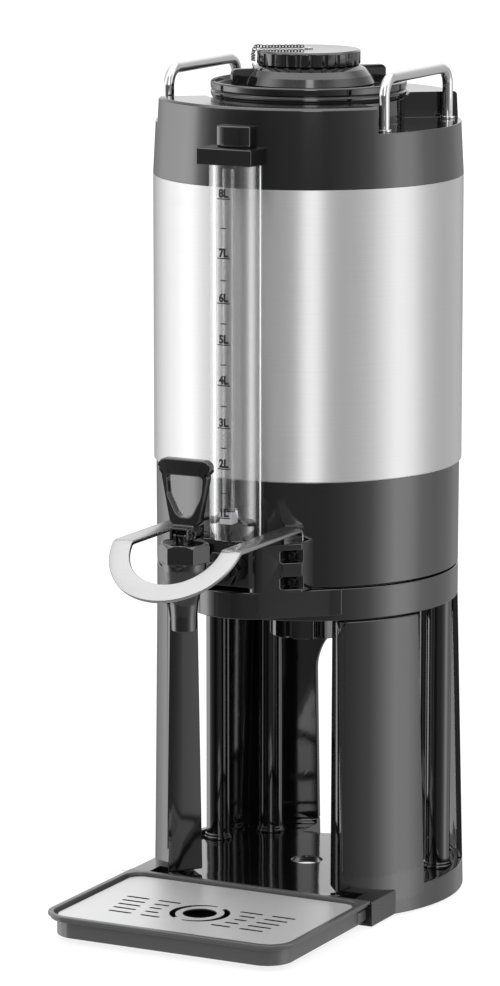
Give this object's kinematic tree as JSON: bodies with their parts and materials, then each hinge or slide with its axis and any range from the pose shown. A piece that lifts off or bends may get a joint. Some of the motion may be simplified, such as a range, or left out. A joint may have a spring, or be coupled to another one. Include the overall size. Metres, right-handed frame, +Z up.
{
  "type": "insulated beverage dispenser",
  "caption": "Tall vacuum-insulated drink container with a sight gauge, lever tap and guard, twist lid and carrying handles, on an open stand with a drip tray.",
  "frame": {"origin": "centre of the footprint on the floor, at the bottom of the rubber feet", "axes": "+Z up; the tap and the drip tray face -Y; +X is to the right of someone who faces the rear from the tap's side"},
  "size_m": [0.2362, 0.3712, 0.6429],
  "materials": {
    "gloss_black": "glossy moulded plastic",
    "satin_black": "fine satin moulded plastic",
    "band_steel": "brushed stainless steel",
    "bright_steel": "polished",
    "guard_steel": "bright satin",
    "screw_black": "black oxide",
    "clear_shield": "clear plastic",
    "tube_glass": "clear tube",
    "white_fitting": "natural moulded plastic",
    "mark_black": "printed ink",
    "seal_rubber": "soft rubber"
  },
  "bodies": {
    "stand": {"stand_base": "gloss_black", "leg_front_left": "gloss_black", "leg_front_right": "gloss_black", "rear_panel": "gloss_black", "post_side_left": "gloss_black", "post_side_right": "gloss_black", "post_rear_left": "gloss_black", "post_rear_right": "gloss_black", "stand_ring": "satin_black", "rubber_feet": "seal_rubber"},
    "tray": {"drip_tray": "satin_black"},
    "grille": {"drip_grille": "band_steel"},
    "container": {"lower_collar": "satin_black", "bottom_plate": "satin_black", "base_nut": "satin_black", "outer_shell": "band_steel", "inner_vessel": "band_steel", "outlet_tube": "band_steel", "outlet_seal": "seal_rubber", "crown": "satin_black", "handle_left": "bright_steel", "handle_right": "bright_steel", "handle_nuts": "bright_steel", "handle_ferrules": "bright_steel", "front_housing": "satin_black", "guard_bar": "guard_steel", "housing_screws": "screw_black", "gauge_block": "satin_black", "vent_cap": "satin_black", "gauge_shield": "clear_shield", "sight_tube": "tube_glass", "tube_fitting": "white_fitting", "tube_stem": "satin_black", "feed_hose": "seal_rubber", "scale_marks": "mark_black", "tube_seal": "seal_rubber", "tap_shank": "satin_black", "shank_nut": "satin_black", "shank_washer": "seal_rubber", "tap_body": "satin_black", "bonnet_nut": "satin_black", "lever_pin": "bright_steel", "tap_spring": "bright_steel"},
    "lever": {"tap_lever": "satin_black"},
    "stem": {"tap_stem": "bright_steel", "seat_cup": "seal_rubber"},
    "lid_seal": {"lid_gasket": "seal_rubber"},
    "lid": {"lid": "gloss_black", "chain_anchor": "bright_steel"},
    "cap_seal": {"cap_gasket": "seal_rubber", "cap_swivel": "bright_steel", "chain": "bright_steel"},
    "cap": {"fill_cap": "gloss_black"}
  },
  "joints": [
    {"name": "container_lift", "type": "slide", "parent": "stand", "child": "container", "axis": [0, 0, 1], "range_m": [0, 0.25]},
    {"name": "tray_slide", "type": "slide", "parent": "stand", "child": "tray", "axis": [0, -1, 0], "range_m": [0, 0.06]},
    {"name": "grille_lift", "type": "slide", "parent": "tray", "child": "grille", "axis": [0, 0, 1], "range_m": [0, 0.06]},
    {"name": "lid_lift", "type": "slide", "parent": "container", "child": "lid_seal", "axis": [0, 0, 1], "range_m": [0, 0.0061]},
    {"name": "lid_turn", "type": "hinge", "parent": "lid_seal", "child": "lid", "pos_m": [0, 0.06391, 0.605], "axis": [0, 0, 1], "range_deg": [0, 270]},
    {"name": "cap_lift", "type": "slide", "parent": "lid", "child": "cap_seal", "axis": [0, 0, 1], "range_m": [0, 0.0061], "deforming": ["chain"]},
    {"name": "cap_turn", "type": "hinge", "parent": "cap_seal", "child": "cap", "pos_m": [0, 0.06391, 0.632], "axis": [0, 0, 1], "range_deg": [0, 540]},
    {"name": "lever_pull", "type": "hinge", "parent": "container", "child": "lever", "pos_m": [0, -0.13959, 0.3052], "axis": [1, 0, 0], "range_deg": [0, 30], "stiffness_Nm_per_rad": 0.35, "springref_deg": -6.88},
    {"name": "stem_lift", "type": "slide", "parent": "container", "child": "stem", "axis": [0, 0, 1], "range_m": [0, 0.00262], "deforming": ["tap_spring"]}
  ],
  "couplings": [
    {"joint": "lid_lift", "follows": "lid_turn", "m_per_rad": 0.0012732},
    {"joint": "cap_lift", "follows": "cap_turn", "m_per_rad": 0.00063662},
    {"joint": "stem_lift", "follows": "lever_pull", "m_per_rad": 0.00496}
  ]
}
